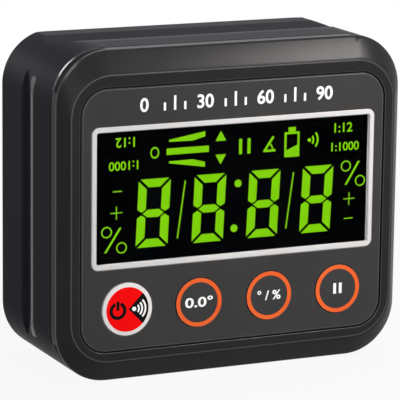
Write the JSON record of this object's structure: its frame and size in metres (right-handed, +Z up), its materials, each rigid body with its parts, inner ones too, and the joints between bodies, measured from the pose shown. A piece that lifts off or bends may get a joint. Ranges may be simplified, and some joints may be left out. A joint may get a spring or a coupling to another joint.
{
  "type": "digital inclinometer",
  "caption": "Box-shaped digital angle gauge with a lit display, push keys, V-grooved edges, a magnetic flat base and a hinged battery door.",
  "frame": {"origin": "centre of the bounding box on the flat base", "axes": "+X to the right seen from the display side, +Y from the display face to the back, +Z up from the base"},
  "size_m": [0.07, 0.03, 0.062],
  "materials": {
    "cover_plastic": "fine satin",
    "housing_plastic": "fine satin",
    "panel_film": "fine matt film",
    "frame_plastic": "smooth",
    "window_pane": "clear, anti-reflective",
    "display_glass": "black, with lit green signs",
    "light_guide": "diffusing white",
    "holder_plastic": "smooth",
    "strip_rubber": "striped layers",
    "board_laminate": "green solder mask",
    "chip_resin": "moulded resin",
    "buzzer_shell": "smooth",
    "switch_plastic": "smooth",
    "plunger_plastic": "smooth",
    "key_plastic": "fine matt, with printed ring",
    "power_key_plastic": "satin, with printed signs",
    "cell_wrap": "printed sleeve, plain",
    "contact_metal": "nickel plated",
    "screw_steel": "zinc plated",
    "magnet_plating": "nickel plated"
  },
  "bodies": {
    "root": {"front_cover": "cover_plastic", "rear_housing": "housing_plastic", "overlay_panel": "panel_film", "display_frame": "frame_plastic", "display_window": "window_pane", "lcd_glass": "display_glass", "backlight_block": "light_guide", "display_holder": "holder_plastic", "contact_strips": "strip_rubber", "circuit_board": "board_laminate", "tilt_sensor": "chip_resin", "controller_chip": "chip_resin", "buzzer": "buzzer_shell", "key_switches": "switch_plastic", "upper_cell": "cell_wrap", "lower_cell": "cell_wrap", "link_contact": "contact_metal", "end_contacts": "contact_metal", "contact_springs": "contact_metal", "case_screws": "screw_steel", "board_screws": "screw_steel", "base_magnets": "magnet_plating"},
    "battery_door": {"battery_door": "housing_plastic"},
    "power_key": {"power_key": "power_key_plastic", "power_plunger": "plunger_plastic"},
    "zero_key": {"zero_key": "key_plastic", "zero_plunger": "plunger_plastic"},
    "mode_key": {"mode_key": "key_plastic", "mode_plunger": "plunger_plastic"},
    "hold_key": {"hold_key": "key_plastic", "hold_plunger": "plunger_plastic"}
  },
  "joints": [
    {"name": "power_press", "type": "slide", "parent": "root", "child": "power_key", "axis": [0, 1, 0], "range_m": [0, 0.0004], "stiffness_N_per_m": 3000},
    {"name": "zero_press", "type": "slide", "parent": "root", "child": "zero_key", "axis": [0, 1, 0], "range_m": [0, 0.0004], "stiffness_N_per_m": 3000},
    {"name": "mode_press", "type": "slide", "parent": "root", "child": "mode_key", "axis": [0, 1, 0], "range_m": [0, 0.0004], "stiffness_N_per_m": 3000},
    {"name": "hold_press", "type": "slide", "parent": "root", "child": "hold_key", "axis": [0, 1, 0], "range_m": [0, 0.0004], "stiffness_N_per_m": 3000},
    {"name": "door_hinge", "type": "hinge", "parent": "root", "child": "battery_door", "pos_m": [0, 0.0134, 0.01795], "axis": [-1, 0, 0], "range_deg": [0, 80]}
  ]
}
